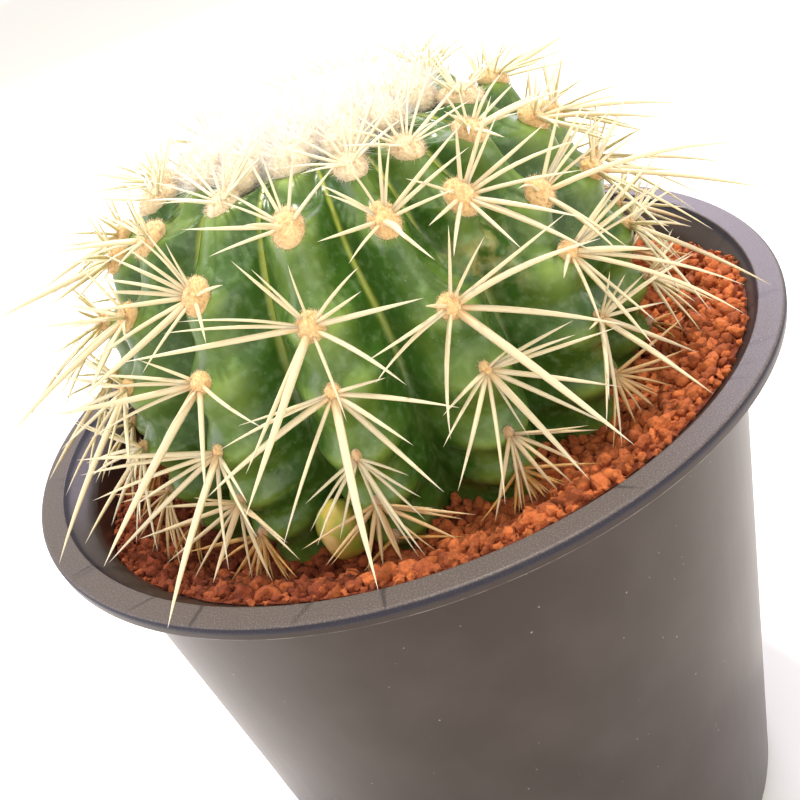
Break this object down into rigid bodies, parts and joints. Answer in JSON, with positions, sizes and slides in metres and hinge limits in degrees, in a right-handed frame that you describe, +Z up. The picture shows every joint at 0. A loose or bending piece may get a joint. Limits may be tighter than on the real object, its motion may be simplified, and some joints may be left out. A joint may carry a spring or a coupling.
{
  "type": "potted round cactus",
  "caption": "Round ribbed cactus with felt areoles, stiff needles and a woolly crown, rooted in granular soil in a tapered round pot with a flat rim.",
  "frame": {"origin": "centre of the pot's flat base, on the surface that it stands on", "axes": "+Z up along the pot's axis; -Y faces the picture's viewer; +X is the side where the soil stands higher"},
  "size_m": [0.12, 0.12, 0.1492],
  "materials": {
    "pot": "satin",
    "soil": "matte",
    "cactus": "satin",
    "crown_wool": "matte"
  },
  "bodies": {
    "root": {"pot": "pot", "soil": "soil", "cactus": "cactus", "crown_wool": "crown_wool"}
  },
  "joints": []
}
